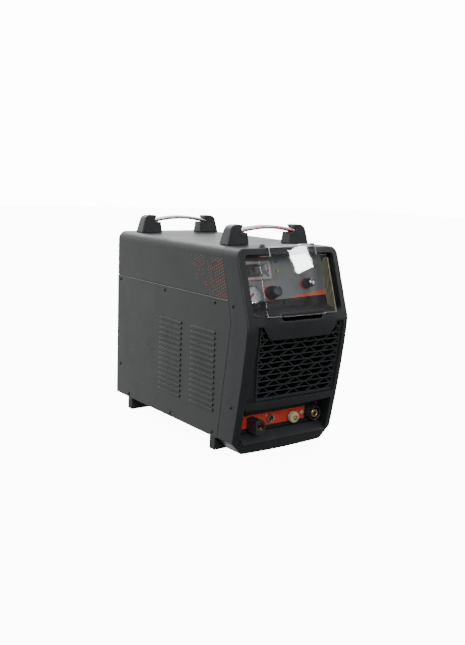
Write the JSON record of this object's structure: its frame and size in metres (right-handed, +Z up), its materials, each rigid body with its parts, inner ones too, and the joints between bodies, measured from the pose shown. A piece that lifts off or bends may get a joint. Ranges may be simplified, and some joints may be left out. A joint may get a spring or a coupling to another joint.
{
  "type": "plasma cutter power unit",
  "caption": "Free-standing inverter plasma cutter with a leaning control panel under a flip-up clear cover, slatted inlet, connection bay, arched carry handles, rear fan and foot rails.",
  "frame": {"origin": "bottom centre of the bounding box, on the floor between the two foot rails", "axes": "-Y is the front with the controls and sockets, +X is the right side seen from the front as the viewer sees it, +Z is up"},
  "size_m": [0.3, 0.63, 0.5203],
  "materials": {
    "bezel_plastic": "fine moulded texture, dark grey",
    "cover_sheet": "dark grey powder coat, satin",
    "black_plastic": "fine matt grain",
    "rubber": "matt",
    "handle_metal": "brushed, clear anodised",
    "clear_plastic": "clear polycarbonate, glossy",
    "fascia": "grey printed foil over a dark glossy band",
    "red_label": "printed red-orange foil",
    "red_plastic": "smooth red",
    "brass": "turned, slightly dulled",
    "chrome": "polished",
    "cream_plastic": "smooth insulating plastic",
    "white_dial": "printed dial",
    "dark_screen": "glossy dark filter",
    "galvanised": "zinc coated sheet and wire",
    "green_lamp": "translucent lens",
    "yellow_lamp": "translucent lens",
    "board": "circuit board with solder mask",
    "winding": "varnished copper winding",
    "aluminium": "extruded",
    "sleeve": "heat shrink sleeve"
  },
  "bodies": {
    "chassis": {"front_bezel": "bezel_plastic", "front_grille": "black_plastic", "connection_plate": "black_plastic", "connection_label": "red_label", "top_cover": "cover_sheet", "left_side_panel": "cover_sheet", "right_side_panel": "cover_sheet", "base_pan": "galvanised", "rear_panel": "cover_sheet", "front_foot_rail": "rubber", "rear_foot_rail": "rubber", "front_handle_block_left": "black_plastic", "front_handle_block_right": "black_plastic", "rear_handle_block_left": "black_plastic", "rear_handle_block_right": "black_plastic", "front_handle_bar": "handle_metal", "rear_handle_bar": "handle_metal", "cover_hinge_pin": "chrome", "cover_hinge_lug_left": "black_plastic", "cover_hinge_lug_right": "black_plastic", "control_panel": "fascia", "display_frame": "black_plastic", "display_screen": "dark_screen", "gauge_case": "chrome", "gauge_dial": "white_dial", "gauge_lens": "clear_plastic", "regulator_collar": "red_plastic", "current_collar": "red_plastic", "led_green": "green_lamp", "led_yellow": "yellow_lamp", "torch_connector_housing": "black_plastic", "torch_connector_insert": "brass", "control_socket": "chrome", "pilot_arc_terminal": "cream_plastic", "pilot_arc_contact": "brass", "work_socket_collar": "black_plastic", "work_socket_core": "brass", "fan_frame": "black_plastic", "fan_guard": "galvanised", "breaker_body": "black_plastic", "cable_gland": "black_plastic", "air_inlet": "brass", "air_filter_head": "aluminium", "air_filter_bowl": "clear_plastic", "shelf": "galvanised", "main_board": "board", "control_board": "board", "heat_sink": "aluminium", "transformer": "winding", "output_choke": "winding", "capacitor_1": "sleeve", "capacitor_2": "sleeve", "solenoid_valve": "brass", "air_regulator": "black_plastic"},
    "clear_cover": {"clear_cover": "clear_plastic"},
    "regulator_knob": {"regulator_knob": "black_plastic"},
    "current_knob": {"current_knob": "black_plastic"},
    "gauge_needle": {"gauge_needle": "red_plastic"},
    "fan_rotor": {"fan_rotor": "black_plastic"},
    "breaker_lever": {"breaker_lever": "red_plastic"}
  },
  "joints": [
    {"name": "cover_hinge", "type": "hinge", "parent": "chassis", "child": "clear_cover", "pos_m": [0, -0.2443, 0.4792], "axis": [-1, 0, 0], "range_deg": [0, 110]},
    {"name": "regulator_turn", "type": "hinge", "parent": "chassis", "child": "regulator_knob", "pos_m": [-0.042, -0.24403, 0.37097], "axis": [0, -0.9493, 0.3145], "range_deg": [0, 1000]},
    {"name": "current_turn", "type": "hinge", "parent": "chassis", "child": "current_knob", "pos_m": [0.066, -0.23873, 0.38697], "axis": [0, -0.9493, 0.3145], "range_deg": [-135, 135]},
    {"name": "gauge_needle_turn", "type": "hinge", "parent": "chassis", "child": "gauge_needle", "pos_m": [-0.096, -0.24569, 0.37042], "axis": [0, -0.9493, 0.3145], "range_deg": [-270, 0]},
    {"name": "fan_spin", "type": "hinge", "parent": "chassis", "child": "fan_rotor", "pos_m": [0, 0.2577, 0.122], "axis": [0, 1, 0], "continuous": true},
    {"name": "breaker_rock", "type": "hinge", "parent": "chassis", "child": "breaker_lever", "pos_m": [0.078, 0.2832, 0.33], "axis": [1, 0, 0], "range_deg": [0, 48]}
  ]
}
